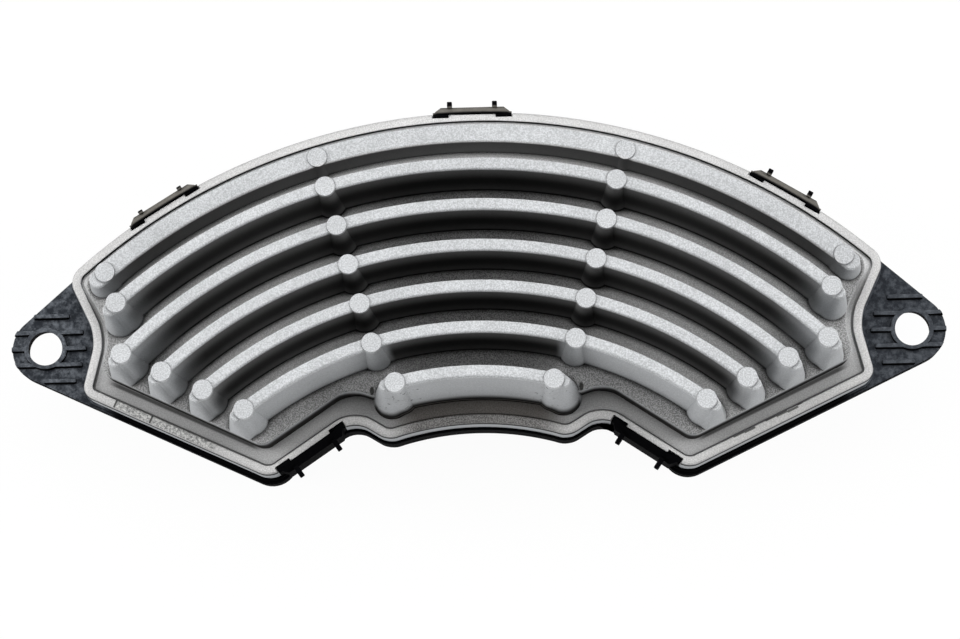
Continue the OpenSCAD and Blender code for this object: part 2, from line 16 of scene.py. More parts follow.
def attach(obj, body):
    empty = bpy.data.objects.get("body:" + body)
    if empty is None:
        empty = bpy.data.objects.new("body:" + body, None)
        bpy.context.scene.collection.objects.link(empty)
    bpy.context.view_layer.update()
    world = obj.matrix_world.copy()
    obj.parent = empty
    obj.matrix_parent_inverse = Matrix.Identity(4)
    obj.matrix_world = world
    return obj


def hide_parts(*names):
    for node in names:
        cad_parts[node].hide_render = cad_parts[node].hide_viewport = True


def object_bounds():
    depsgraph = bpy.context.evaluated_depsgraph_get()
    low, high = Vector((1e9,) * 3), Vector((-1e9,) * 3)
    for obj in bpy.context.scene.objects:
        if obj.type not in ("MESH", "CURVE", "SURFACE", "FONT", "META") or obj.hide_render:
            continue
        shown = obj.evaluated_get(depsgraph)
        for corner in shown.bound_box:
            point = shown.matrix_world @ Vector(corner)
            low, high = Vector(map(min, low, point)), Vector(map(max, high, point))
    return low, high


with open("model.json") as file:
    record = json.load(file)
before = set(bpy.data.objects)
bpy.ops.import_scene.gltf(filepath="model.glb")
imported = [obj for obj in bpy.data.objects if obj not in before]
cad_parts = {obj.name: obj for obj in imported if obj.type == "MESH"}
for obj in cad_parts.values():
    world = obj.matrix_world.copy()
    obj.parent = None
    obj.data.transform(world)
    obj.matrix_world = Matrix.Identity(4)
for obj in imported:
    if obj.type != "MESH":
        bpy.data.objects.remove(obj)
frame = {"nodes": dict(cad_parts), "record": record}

cad_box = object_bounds()
nodes = frame["nodes"]
print("nodes:", len(nodes), "box:", cad_box)

# %% [markdown]
# All sizes below are written in millimetres times MM, because one unit of the scene is one
# metre. The fins and both long edges of the plate are arcs about one common centre, which
# lies below the fixing holes, so that centre is the first value that everything needs. Two
# tiny lengths tell when points count as one, and a turn in radians tells a sharp edge.

# %% Driving sizes
MM = 0.001
ARC_DROP = 60 * MM
CENTRE = Vector((0, -ARC_DROP, 0))
TOP_R = 96.5 * MM
LOW_R = 45.6 * MM
PLATE_T = 3.6 * MM
RIM_Z = 4.5 * MM
RIM_W = 1.5 * MM
PLATEAU_Z = 9.4 * MM
FIN_Z = 21.4 * MM
TINY = MM / 100
WELD = MM / 1000
SHARP = 0.6


def polar(radius, degrees, z=0.0):
    """Point at a radius and an angle from the middle line, about the fins' centre."""
    angle = math.radians(degrees)
    return CENTRE + Vector((radius * math.sin(angle), radius * math.cos(angle), z))


print("plate from", round(LOW_R / MM, 1), "to", round(TOP_R / MM, 1), "mm about the fins' centre")

# %% [markdown]
# Modelling by hand means: select something, run a tool on it. These helpers are the few
# habits that every piece below shares. Selecting goes by place or by normal, as one would
# pick with the mouse, and the tool that is used most is extrude, which ends with a move.

# %% Selecting and extruding


def end_edit():
    """Leave edit mode."""
    bpy.ops.object.mode_set(mode="OBJECT")


def select_none():
    """Be in object mode with nothing selected."""
    if bpy.context.mode != "OBJECT":
        end_edit()
    bpy.ops.object.select_all(action="DESELECT")


def select_only(obj):
    """Select one object alone and make it active."""
    select_none()
    obj.select_set(True)
    bpy.context.view_layer.objects.active = obj


def begin_edit(obj):
    """Select one object alone and enter edit mode."""
    select_only(obj)
    bpy.ops.object.mode_set(mode="EDIT")


def pick(obj, kind, test):
    """In edit mode, select the vertices, edges or faces that pass a test."""
    bpy.ops.mesh.select_mode(type=kind)
    bpy.ops.mesh.select_all(action="DESELECT")
    mesh = bmesh.from_edit_mesh(obj.data)
    items = {"VERT": mesh.verts, "EDGE": mesh.edges, "FACE": mesh.faces}[kind]
    chosen = [item for item in items if test(item)]
    for item in chosen:
        item.select_set(True)
    bmesh.update_edit_mesh(obj.data)
    return len(chosen)


def move(x=0.0, y=0.0, z=0.0):
    """Extrude what is selected and move the new part."""
    bpy.ops.mesh.extrude_region_move(TRANSFORM_OT_translate={"value": (x, y, z)})


print("selected after loading:", len(bpy.context.selected_objects), "nodes of the frame")

# %% [markdown]
# Most pieces here begin as a drawn line. The pen starts as a plane that is merged to one
# vertex, and draws by extruding that vertex, along straight lines or by spinning it about
# the fins' centre. A curve object could draw the same line, but vertices that are extruded
# stay editable with the tools that follow.

# %% The pen


class Pen:
    """Draws one line of vertices, as by clicking in edit mode."""

    def __init__(self, name, start):
        select_none()
        bpy.ops.mesh.primitive_plane_add(size=MM)
        self.obj = bpy.context.object
        self.obj.name = name
        bpy.ops.object.mode_set(mode="EDIT")
        bpy.ops.mesh.select_mode(type="VERT")
        bpy.ops.mesh.select_all(action="SELECT")
        bpy.ops.mesh.merge(type="CENTER")
        bpy.ops.transform.translate(value=start)
        self.at = Vector(start)

    def line(self, *points):
        """Carry the line on through points."""
        for point in points:
            step = Vector(point) - self.at
            move(*step)
            self.at = Vector(point)

    def arc(self, degrees, steps):
        """Carry the line round the fins' centre, positive towards +X at the top."""
        bpy.ops.mesh.spin(steps=steps, angle=math.radians(degrees), center=CENTRE, axis=(0, 0, 1))
        self.at = CENTRE + Matrix.Rotation(-math.radians(degrees), 3, "Z") @ (self.at - CENTRE)

    def fill(self):
        """Close the line and fill it with one face."""
        bpy.ops.mesh.select_all(action="SELECT")
        bpy.ops.mesh.remove_doubles(threshold=WELD)
        bpy.ops.mesh.edge_face_add()


print("the pen turns about", [round(value / MM) for value in CENTRE], "mm")

# %% [markdown]
# The plate is the casting's base. Its outline is drawn as one half: along the lower arc
# from the middle, out to the leg, up the waisted side, over the shoulder, and back along
# the upper arc. Corners are drawn sharp and rounded afterwards, which keeps every corner
# where the drawing has it. Mirroring gives the other half, and filling makes the face.

# %% Outline of the plate


def near(point, reach=TINY):
    """Test for vertices at a point."""
    return lambda vertex: (vertex.co - Vector(point)).length < reach


def round_corner(obj, before, corner, after, radius, segments=6):
    """Round one corner of a drawn line: the cut starts where the radius touches both sides."""
    turn = (Vector(corner) - Vector(before)).angle(Vector(after) - Vector(corner))
    pick(obj, "VERT", near(corner))
    bpy.ops.mesh.bevel(offset=radius * math.tan(turn / 2), segments=segments, affect="VERTICES")


def apply_modifiers(obj):
    """Apply all modifiers of a piece, from the top down."""
    select_only(obj)
    for modifier in list(obj.modifiers):
        bpy.ops.object.modifier_apply(modifier=modifier.name)


def mirror_half(obj):
    """Mirror a half outline across the middle plane and weld it."""
    end_edit()
    mirror = obj.modifiers.new("mirror", "MIRROR")
    mirror.merge_threshold = WELD
    apply_modifiers(obj)


def arc_angle(point):
    """Angle of a point about the fins' centre, from the middle line."""
    arm = Vector(point) - CENTRE
    return math.degrees(math.atan2(arm.x, arm.y))


CORNER_LEG = 2.5 * MM


def draw_outline(name, low_r, top_r, corners, z, arc_steps=40):
    """Fill the mirrored outline between two arcs and the corners that join them."""
    places = [Vector((x * MM, y * MM, z)) for x, y, radius in corners]
    end_angle = arc_angle(places[0])
    stop_angle = end_angle - math.degrees(CORNER_LEG / low_r)
    places[0] = polar(low_r, end_angle, z)
    pen = Pen(name, CENTRE + Vector((0, low_r, z)))
    pen.arc(stop_angle, arc_steps // 2)
    places.insert(0, pen.at.copy())
    pen.line(*places[1:])
    pen.arc(-arc_angle(places[-1]), arc_steps)
    for i, (x, y, radius) in enumerate(corners[:-1], start=1):
        round_corner(pen.obj, places[i - 1], places[i], places[i + 1], radius * MM)
    mirror_half(pen.obj)
    begin_edit(pen.obj)
    pen.fill()
    end_edit()
    return pen.obj


PLATE_CORNERS = [
    (14.4, -16.7, 3.2), (19.8, -13.4, 4), (33.2, -22.4, 3.2), (63.4, -8.3, 2.2),
    (61.1, 1.0, 7), (65.72, 10.73, 3), (63.31, 12.83, 0),
]
casting = draw_outline("heat_sink_casting", LOW_R, TOP_R, PLATE_CORNERS, 0)
print(len(casting.data.vertices), "points,", len(casting.data.polygons), "face")

# %% [markdown]
# The face becomes the plate: it is extruded to the height of the rim, and the face on top
# is inset by the rim's width and pushed down to the shelf, with a narrow gutter at the
# rim's foot. The rim could also be a ring that is joined on, but an inset keeps its width
# the same all round. A small bevel eases the rim's inner edge and a larger one its outer
# edge, as on a casting that was trimmed and sand-blasted.

# %% Plate with its raised rim


def is_edge_at(z):
    """Test for sharp edges that lie at one height."""
    return lambda edge: (
        all(abs(v.co.z - z) < WELD for v in edge.verts) and edge.calc_face_angle(0) > SHARP
    )


def turn_outwards(obj):
    """Weld doubles and let all faces of a closed shell point outwards."""
    begin_edit(obj)
    bpy.ops.mesh.select_all(action="SELECT")
    bpy.ops.mesh.remove_doubles(threshold=WELD)
    bpy.ops.mesh.normals_make_consistent(inside=False)
    end_edit()


def count(obj):
    """Faces and volume of a piece, and whether its shell is closed."""
    mesh = bmesh.new()
    mesh.from_mesh(obj.data)
    closed = all(edge.is_manifold for edge in mesh.edges)
    volume = mesh.calc_volume() / MM**3
    faces = len(mesh.faces)
    mesh.free()
    return f"{obj.name}: {faces} faces, {volume:.0f} mm3, closed {closed}"


GUTTER = 0.3 * MM
INNER_EASE, OUTER_EASE = 0.18 * MM, 0.6 * MM
TALL = 2 * MM
UPRIGHT = 0.1


def borders_outside(edge):
    """Whether an edge of the rim belongs to the plate's tall outer wall."""
    return any(
        abs(face.normal.z) < UPRIGHT and face.calc_center_median().z < RIM_Z - TALL
        for face in edge.link_faces
    )


begin_edit(casting)
bpy.ops.mesh.select_all(action="SELECT")
move(z=RIM_Z)
bpy.ops.mesh.inset(thickness=RIM_W, use_even_offset=True)
move(z=PLATE_T - GUTTER - RIM_Z)
bpy.ops.mesh.inset(thickness=GUTTER, use_even_offset=True)
move(z=GUTTER)
is_rim_edge = is_edge_at(RIM_Z)
for is_outer, offset in ((False, INNER_EASE), (True, OUTER_EASE)):
    pick(casting, "EDGE", lambda edge: is_rim_edge(edge) and borders_outside(edge) == is_outer)
    bpy.ops.mesh.bevel(offset=offset, segments=3, affect="EDGES", clamp_overlap=False)
end_edit()
turn_outwards(casting)
print(count(casting))

# %% [markdown]
# The plateau that carries the fins stands further in than the rim. One more inset of the
# plate would be quicker, but the shelf around the plateau isn't equally wide everywhere, so
# the plateau is drawn with corners of its own. Its upper edge is softly rounded, and a
# rounded edge on an extruded face is one bevel.

# %% Plateau under the fins
PLATEAU_CORNERS = [
    (12.2, -11.6, 1), (20.3, -8.9, 5), (33.8, -17.9, 2.2), (59.5, -5.6, 2),
    (57.9, 0.6, 7), (62.47, 9.18, 3), (61.14, 10.34, 0),
]
PLATEAU_LOW_R = 49.9 * MM
PLATEAU_TOP_R = 93.2 * MM
PLATEAU_EASE = 0.3 * MM
FOOT_Z = 3 * MM

plateau = draw_outline("plateau", PLATEAU_LOW_R, PLATEAU_TOP_R, PLATEAU_CORNERS, FOOT_Z)
begin_edit(plateau)
bpy.ops.mesh.select_all(action="SELECT")
move(z=PLATEAU_Z - FOOT_Z)
pick(plateau, "EDGE", is_edge_at(PLATEAU_Z))
bpy.ops.mesh.bevel(offset=PLATEAU_EASE, segments=3, affect="EDGES", clamp_overlap=False)
end_edit()
turn_outwards(plateau)
print(count(plateau))

# %% [markdown]
# A fin is one profile carried along an arc. The profile has a top with eased edges and
# sides with the draft that lets the casting leave its mould. Drawing it once at the fin's
# end and spinning it about the common centre gives the whole fin. A curve could carry the
# profile too, but spin takes the arc's centre and angle just as the drawing gives them.

# %% Fins
FIN_DRAFT = 3.6
FIN_STEPS = 72
FIN_SINK = 0.6 * MM
CRISP, SOFT = 0.1 * MM, 0.45 * MM


def widen(height, degrees):
    """How much a drafted side moves out over a height."""
    return height * math.tan(math.radians(degrees))


def fin(name, radius, end_angle, top_w, ground_z, top_z):
    """One fin from its end on the left to its end on the right."""
    low_z = ground_z - FIN_SINK
    foot_w = top_w / 2 + widen(top_z - low_z, FIN_DRAFT)
    section = [(foot_w, low_z), (top_w / 2, top_z), (-top_w / 2, top_z), (-foot_w, low_z)]
    points = [polar(radius + out, -end_angle, z) for out, z in section]
    pen = Pen(name, points[0])
    pen.line(*points[1:])
    pen.fill()
    bpy.ops.mesh.spin(steps=FIN_STEPS, angle=math.radians(2 * end_angle), center=CENTRE, axis=(0, 0, 1))
    is_top_edge = is_edge_at(top_z)
    for is_outer, offset in ((True, CRISP), (False, SOFT)):
        pick(pen.obj, "EDGE", lambda edge: is_top_edge(edge) and all(
            ((v.co - CENTRE).xy.length > radius) == is_outer for v in edge.verts
        ))
        bpy.ops.mesh.bevel(offset=offset, segments=3, affect="EDGES", clamp_overlap=False)
    end_edit()
    turn_outwards(pen.obj)
    return pen.obj


FIN_T = 1.9 * MM
FULL_FINS = {84.08: 41.0, 77.66: 44.4, 71.24: 42.5, 64.82: 40.1, 58.4: 37.4}
LOW_FIN_R, LOW_FIN_END, LOW_FIN_T, LOW_FIN_Z = 90.4 * MM, 39.8, 2.9 * MM, 15.2 * MM
SHORT_FIN_R, SHORT_FIN_END = 51.5 * MM, 13.7

fins = [
    fin("full_fin", radius * MM, end, FIN_T, PLATEAU_Z, FIN_Z) for radius, end in FULL_FINS.items()
]
fins.append(fin("low_fin", LOW_FIN_R, LOW_FIN_END, LOW_FIN_T, PLATEAU_Z, LOW_FIN_Z))
short_fin = fin("short_fin", SHORT_FIN_R, SHORT_FIN_END, FIN_T, PLATE_T, FIN_Z)
for each in fins + [short_fin]:
    print(count(each))

# %% [markdown]
# Ejector pins push the casting out of its mould, and each leaves a round mark that stands
# a little proud of the fin. Below it, the fin widens into a drafted column, and at a fin's
# end a lower tail follows. A column is a half profile spun about its own axis: a cone has
# the draft too, but the profile also holds the eased edge at the top. It is modelled once
# for each kind and copied to its places.

# %% Ejector-pin columns


def copy_to(obj, offset):
    """Copy a piece with its own mesh and set it at an offset."""
    twin = obj.copy()
    twin.data = obj.data.copy()
    bpy.context.scene.collection.objects.link(twin)
    twin.data.transform(Matrix.Translation(offset))
    return twin


PIN_R = 1.55 * MM
PIN_PROUD = 0.3 * MM
PIN_EASE = 0.06 * MM
PIN_DRAFT = 5
TAIL_R = 1 * MM
TAIL_L = 1.5 * MM
TAIL_STEP = 0.3 * MM
TAIL_EASE = 0.25 * MM
TAIL_DRAFT = 7
MID_PIN = 15.6
COLUMN_STEPS = 40


def column(name, top_r, ground_z, top_z, ease, draft):
    """Drafted round column with an eased top edge, standing at the origin."""
    low_z = ground_z - FIN_SINK
    foot_r = top_r + widen(top_z - low_z, draft)
    pen = Pen(name, (0, 0, low_z))
    pen.line((foot_r, 0, low_z), (top_r, 0, top_z - ease), (top_r - ease, 0, top_z), (0, 0, top_z))
    bpy.ops.mesh.select_all(action="SELECT")
    bpy.ops.mesh.spin(steps=COLUMN_STEPS, angle=math.tau, center=(0, 0, 0), axis=(0, 0, 1))
    end_edit()
    turn_outwards(pen.obj)
    return pen.obj


def stand(radius, end_angle, mid_angle, ground_z, top_z, tail_r, draft, pin_draft=PIN_DRAFT):
    """All columns of one fin, on both sides."""
    pin = column("pin", PIN_R, ground_z, top_z + PIN_PROUD, PIN_EASE, pin_draft)
    tail = column("tail", tail_r, ground_z, top_z - TAIL_STEP, TAIL_EASE, draft)
    bridge_r = (PIN_R + tail_r) / 2
    bridge_draft = (pin_draft + draft) / 2
    bridge = column("bridge", bridge_r, ground_z, top_z - TAIL_STEP, TAIL_EASE, bridge_draft)
    tail_turn = math.degrees(TAIL_L / radius)
    made = []
    for side in (-1, 1):
        made.append(copy_to(pin, polar(radius, side * end_angle)))
        made.append(copy_to(bridge, polar(radius, side * (end_angle + tail_turn / 2))))
        made.append(copy_to(tail, polar(radius, side * (end_angle + tail_turn))))
        if mid_angle:
            made.append(copy_to(pin, polar(radius, side * mid_angle)))
    for model in (pin, bridge, tail):
        bpy.data.objects.remove(model)
    return made


columns = stand(LOW_FIN_R, LOW_FIN_END, MID_PIN, PLATEAU_Z, LOW_FIN_Z, LOW_FIN_T / 2, TAIL_DRAFT)
for radius, end in FULL_FINS.items():
    columns += stand(radius * MM, end, MID_PIN, PLATEAU_Z, FIN_Z, TAIL_R, TAIL_DRAFT)
SHORT_PIN_DRAFT, SHORT_TAIL_DRAFT = 3.6, 6.5
short_columns = stand(
    SHORT_FIN_R, SHORT_FIN_END, None, PLATE_T, FIN_Z, TAIL_R, SHORT_TAIL_DRAFT, SHORT_PIN_DRAFT
)
print(len(columns) + len(short_columns), "columns stand on the fins")

# %% [markdown]
# So far the casting is a heap of closed shells that run into each other. The feet of the
# outer columns end at the plateau's edge, so the fins are first joined and cut to a block
# with the plateau's outline. One more union makes one skin, as the poured metal is. Left as
# they were, the shells would look much the same, but with hidden faces inside the metal.

# %% One casting


def combine(obj, others, operation):
    """Join closed shells to a piece, or cut them out of it, and remove them."""
    group = bpy.data.collections.new("tools")
    for other in others:
        group.objects.link(other)
    boolean = obj.modifiers.new("combine", "BOOLEAN")
    boolean.operation = operation
    boolean.operand_type = "COLLECTION"
    boolean.collection = group
    boolean.solver = "MANIFOLD"
    apply_modifiers(obj)
    for other in others:
        bpy.data.objects.remove(other)
    bpy.data.collections.remove(group)


def raise_face(obj, height):
    """Extrude a drawn face to a closed slab."""
    begin_edit(obj)
    bpy.ops.mesh.select_all(action="SELECT")
    move(z=height)
    end_edit()
    turn_outwards(obj)


standing = fins[0]
combine(standing, fins[1:] + columns, "UNION")
edge = draw_outline("edge", PLATEAU_LOW_R, PLATEAU_TOP_R, PLATEAU_CORNERS, FOOT_Z)
raise_face(edge, FIN_Z)
combine(standing, [edge], "INTERSECT")
print(count(standing))
combine(casting, [plateau, standing, short_fin] + short_columns, "UNION")
print(count(casting))

# %% [markdown]
# Underneath, a pocket holds the power devices against the metal. It follows the plateau's
# outline at a wall's distance. Nobody sees it once the part is assembled, but the skin
# keeps the form of the real casting. Here it becomes a block, which is cut out below.

# %% Pocket for the power devices
POCKET_Z = 5 * MM
POCKET_WALL = 3.5 * MM
POCKET_CORNERS = [
    (12.0, -8.0, 1), (20.8, -5.0, 8), (34.1, -13.9, 1), (55.6, -3.6, 1),
    (54.8, 1.1, 10), (58.17, 8.27, 0),
]
BELOW = 1 * MM
pocket = draw_outline(
    "pocket", PLATEAU_LOW_R + POCKET_WALL, PLATEAU_TOP_R - POCKET_WALL, POCKET_CORNERS, -BELOW
)
raise_face(pocket, POCKET_Z + BELOW)
print(count(pocket))

# %% [markdown]
# Five snap arms hold the plate: three along the upper arc and two beside the lower middle.
# Both the casting and the housing need their places, so these are worked out once, as
# matrices that carry a piece modelled at the origin to its place.

# %% Places of the snap arms
ARM_ANGLE = 31.4
ARM_L = 12.8 * MM
HOOK_L = 0.8 * MM
HOOK_MIDDLE, HOOK_SHORT = 3.8 * MM, 0.3 * MM
ARM_GAP = 0.15 * MM
LOW_ARM_AT = Vector((26.5, -17.9, 0)) * MM
LOW_ARM_TURN = 180 - 33.9


def arm_places():
    """Where each snap arm stands: a matrix whose +Y points away from the plate."""
    for angle in (-ARM_ANGLE, 0, ARM_ANGLE):
        yield Matrix.Translation(polar(TOP_R, angle)) @ Matrix.Rotation(-math.radians(angle), 4, "Z")
    for side in (1, -1):
        place = Vector((side * LOW_ARM_AT.x, LOW_ARM_AT.y, 0))
        turn = math.radians(side * LOW_ARM_TURN)
        yield Matrix.Translation(place) @ Matrix.Rotation(turn, 4, "Z")


print(len(list(arm_places())), "snap arms,", round(ARM_L / MM, 1), "mm long")

# %% [markdown]
# Three screws hold the devices' springs in the pocket's roof, and a shallow notch in the
# rim lets each snap arm hook over the plate. A notch is deeper at its ends, as the arm's
# hook is. With the pocket, all of these are cut out in one step, by one Boolean modifier.

# %% Notches and screw holes


def block(name, low, high, ease=0.0):
    """Closed box between two corners, with its upright edges eased."""
    select_none()
    bpy.ops.mesh.primitive_cube_add(size=1)
    obj = bpy.context.object
    obj.name = name
    low, high = Vector(low), Vector(high)
    obj.data.transform(Matrix.Translation((low + high) / 2) @ Matrix.Diagonal((*(high - low), 1)))
    if ease:
        begin_edit(obj)
        pick(obj, "EDGE", lambda edge: abs(edge.verts[0].co.z - edge.verts[1].co.z) > TINY)
        bpy.ops.mesh.bevel(offset=ease, segments=3, affect="EDGES")
        end_edit()
    return obj


def round_bar(name, radius, low_z, high_z, place=(0, 0), vertices=48):
    """Closed cylinder between two heights, with its place in its mesh."""
    select_none()
    bpy.ops.mesh.primitive_cylinder_add(vertices=vertices, radius=radius, depth=high_z - low_z)
    obj = bpy.context.object
    obj.name = name
    middle = Vector((place[0], place[1], (low_z + high_z) / 2))
    obj.data.transform(Matrix.Translation(middle))
    return obj


NOTCH_OUT, NOTCH_TOP_Z, NOTCH_EASE = 4 * MM, 8 * MM, 0.1 * MM
cutters = [pocket]
reach = ARM_L / 2 + ARM_GAP
spans = [
    (-reach, -HOOK_MIDDLE, HOOK_L),
    (-HOOK_MIDDLE - MM, HOOK_MIDDLE + MM, HOOK_SHORT),
    (HOOK_MIDDLE, reach, HOOK_L),
]
for matrix in arm_places():
    for start, stop, depth in spans:
        low = (start, -depth - ARM_GAP, PLATE_T)
        notch = block("notch", low, (stop, NOTCH_OUT, NOTCH_TOP_Z), NOTCH_EASE)
        notch.data.transform(matrix)
        cutters.append(notch)

SCREW_HOLES = [(-16, 7.4), (16, 7.4), (-11, 15.7)]
SCREW_R = 1.55 * MM
SCREW_TOP_Z = 8.4 * MM
for x, y in SCREW_HOLES:
    cutters.append(round_bar("hole", SCREW_R, PLATE_T, SCREW_TOP_Z, (x * MM, y * MM), 32))

combine(casting, cutters, "DIFFERENCE")
print(count(casting))

# %% [markdown]
# The housing follows the plate's outline: a band that stands out a little around the plate,
# a body that is set back below it, and a cavity inside. All three come from the plate's
# corners, moved inwards or outwards by a distance, so that they always fit each other.

# %% Outlines of the housing
LEAST_RADIUS = 0.3


def set_in(corners, distance):
    """The same corners moved inwards by millimetres, with their radii to match."""
    start = math.atan2(corners[0][0], corners[0][1] + ARC_DROP / MM)
    spots = [Vector((x, y)) for x, y, radius in corners]
    runs = [Vector((math.cos(start), -math.sin(start)))]
    runs += [(b - a).normalized() for a, b in zip(spots, spots[1:])]
    runs.append(runs[-1])
    moved = []
    for spot, (x, y, radius), run, next_run in zip(spots, corners, runs, runs[1:]):
        left, next_left = Vector((-run.y, run.x)), Vector((-next_run.y, next_run.x))
        spot = spot + distance * (left + next_left) / (1 + left.dot(next_left))
        bend = math.copysign(1, run.x * next_run.y - run.y * next_run.x)
        moved.append((spot.x, spot.y, max(radius - bend * distance, LEAST_RADIUS)))
    return moved


def slab(name, distance, low_z, high_z):
    """Closed slab with the plate's outline, moved inwards by millimetres."""
    low_r, top_r = LOW_R + distance * MM, TOP_R - distance * MM
    obj = draw_outline(name, low_r, top_r, set_in(PLATE_CORNERS, distance), low_z)
    raise_face(obj, high_z - low_z)
    return obj


print("band's leg corner:", [round(value, 2) for value in set_in(PLATE_CORNERS, -1)[3][:2]], "for 1 mm")

# %% [markdown]
# Moulded edges are never quite sharp, so the band and the back get small rounds. A Bevel
# modifier would round every edge of the body, also the ones that the band covers. The
# bevel tool works on selected edges, picked here by a test on the places of their ends.

# %% Housing body


def ease(obj, test, offset, segments=2):
    """Round the sharp edges whose ends all pass a test."""
    begin_edit(obj)
    pick(obj, "EDGE", lambda edge: edge.calc_face_angle(0) > SHARP and all(test(v.co) for v in edge.verts))
    bpy.ops.mesh.bevel(offset=offset, segments=segments, affect="EDGES", clamp_overlap=False)
    end_edit()


BAND_OUT, BODY_IN, CAVITY_IN = -0.45, 2, 4
BAND_Z = -4.5 * MM
BACK_Z = -20 * MM
WALL_T = 2 * MM
BACK_EASE, BAND_EASE = 0.25 * MM, 0.15 * MM
CAVITY_TOP_Z = 1 * MM

housing = slab("housing_shell", BODY_IN, BACK_Z, 0)
ease(housing, lambda p: p.z < BACK_Z + TINY, BACK_EASE)
band = slab("band", BAND_OUT, BAND_Z, 0)
ease(band, lambda p: True, BAND_EASE)
cavity = slab("cavity", CAVITY_IN, BACK_Z + WALL_T, CAVITY_TOP_Z)
print(count(housing), "|", count(band), "|", count(cavity))

# %% [markdown]
# An ear is a flat tongue with a round end about its fixing hole. Its lower edge runs on
# along the leg and around the leg's foot. The pen draws the tongue's outline, with one spin
# about the hole and one about the heel, so that the straight edges touch both rounds.

# %% Tongue of an ear
HOLE_AT = Vector((70, 0, 0)) * MM
HOLE_R = 2.75 * MM
EAR_R = 5.5 * MM
EAR_TURN = (41.5, 154.8)
EAR_Z = (-3.8 * MM, -0.8 * MM)
EAR_EASE = 0.15 * MM
EAR_UPPER_L, EAR_INTO_BAND = 13 * MM, 14 * MM
HEEL_AT = Vector((33.48, -18.73, 0)) * MM
HEEL_SWEEP = 110
HEEL_BACK = 8 * MM
EAR_STEPS, HEEL_STEPS = 24, 12


def around(centre, radius, degrees):
    """Point on a circle, at an angle from straight up."""
    turn = math.radians(degrees)
    return centre + radius * Vector((math.sin(turn), math.cos(turn), 0))


def tongue(name, low_z, high_z):
    """The ear's outline between two heights, running on around the foot of the leg."""
    upper_turn, lower_turn = EAR_TURN
    lift = Vector((0, 0, low_z))
    start = around(HOLE_AT, EAR_R, upper_turn)
    stop = around(HOLE_AT, EAR_R, lower_turn)
    top_in = start + EAR_UPPER_L * around(Vector(), 1, upper_turn - 90)
    down = around(Vector(), 1, lower_turn)
    heel_r = down.dot(stop - HEEL_AT)
    pen = Pen(name, HEEL_AT + Vector((0, HEEL_BACK, low_z)))
    pen.line(top_in + Vector((-EAR_INTO_BAND, 0, low_z)), top_in + lift, start + lift)
    sweep = math.radians(lower_turn - upper_turn)
    bpy.ops.mesh.spin(steps=EAR_STEPS, angle=sweep, center=HOLE_AT, axis=(0, 0, 1))
    pen.at = stop + lift
    pen.line(HEEL_AT + heel_r * down + lift)
    sweep = math.radians(HEEL_SWEEP)
    bpy.ops.mesh.spin(steps=HEEL_STEPS, angle=sweep, center=HEEL_AT, axis=(0, 0, 1))
    pen.fill()
    move(z=high_z - low_z)
    end_edit()
    turn_outwards(pen.obj)
    return pen.obj


ear = tongue("ear", *EAR_Z)
ease(ear, lambda p: p.z > EAR_Z[1] - TINY, EAR_EASE)
print(count(ear))

# %% [markdown]
# Five ribs and a ring stand on the tongue and seat against the duct. The ribs are drawn too
# long on purpose, and an intersection cuts them to the tongue's outline. The fixing hole
# widens towards the back, as the mould's pin needs, so its cutter is a cone, extruded at
# both ends to pass through. The left ear is a mirrored copy.

# %% Ribs, rings and fixing holes
RIB_W, RIB_PITCH, RIB_DOWN = 0.9 * MM, 2.65 * MM, 0.05 * MM
RIB_ROUND, RIB_FOOT_Z = 0.32 * MM, -1.8 * MM
RIB_SPANS = [(65, 70.3), (64, 77), (63.35, 77), (63.9, 77), (66.2, 72)]
RING_W, RING_EASE = 0.75 * MM, 0.25 * MM
TRIM_Z = (-3 * MM, 1 * MM)
HOLE_TAPER = 0.45 * MM
PAST = 1 * MM

ribs = []
for row, (start, stop) in zip(range(-2, 3), RIB_SPANS):
    y = row * RIB_PITCH - RIB_DOWN
    low = (start * MM, y - RIB_W / 2, RIB_FOOT_Z)
    rib = block("rib", low, (stop * MM, y + RIB_W / 2, 0), RIB_ROUND)
    ease(rib, lambda p: p.z > -TINY, RIB_ROUND, 3)
    combine(rib, [tongue("trim", *TRIM_Z)], "INTERSECT")
    ribs.append(rib)
ring = round_bar("ring", HOLE_R + RING_W, RIB_FOOT_Z, 0, HOLE_AT)
ease(ring, lambda p: p.z > -TINY, RING_EASE, 3)
combine(ear, ribs + [ring], "UNION")
select_none()
bpy.ops.mesh.primitive_cone_add(
    vertices=48, radius1=HOLE_R + HOLE_TAPER, radius2=HOLE_R, depth=-EAR_Z[0],
    location=HOLE_AT + Vector((0, 0, EAR_Z[0] / 2)),
)
bore = bpy.context.object
bpy.ops.object.transform_apply(location=True)
begin_edit(bore)
for z, lift in ((0, PAST), (EAR_Z[0], -PAST)):
    pick(bore, "FACE", lambda face: abs(face.calc_center_median().z - z) < TINY)
    move(z=lift)
end_edit()
combine(ear, [bore], "DIFFERENCE")
left_ear = copy_to(ear, (0, 0, 0))
left_ear.data.transform(Matrix.Scale(-1, 4, (1, 0, 0)))
turn_outwards(left_ear)
print(count(ear), "|", count(left_ear))

# %% [markdown]
# A snap arm rises from the band and hooks over the plate's rim. Its section is drawn once
# and extruded to its length. The outer ends are chamfered and slant down, and the hook is
# shorter over its middle, which a block cuts away.

# %% Snap arm
ARM_T = 0.8 * MM
ARM_ROOT, ARM_EASE = 1 * MM, 0.2 * MM
ARM_FOOT_Z, ARM_TOP_Z = -3.5 * MM, 5 * MM
HOOK_Z = 3.7 * MM
FOOT_TOP_Z = -0.5 * MM
END_CHAMFER, END_SLANT = 1.3 * MM, 0.8 * MM

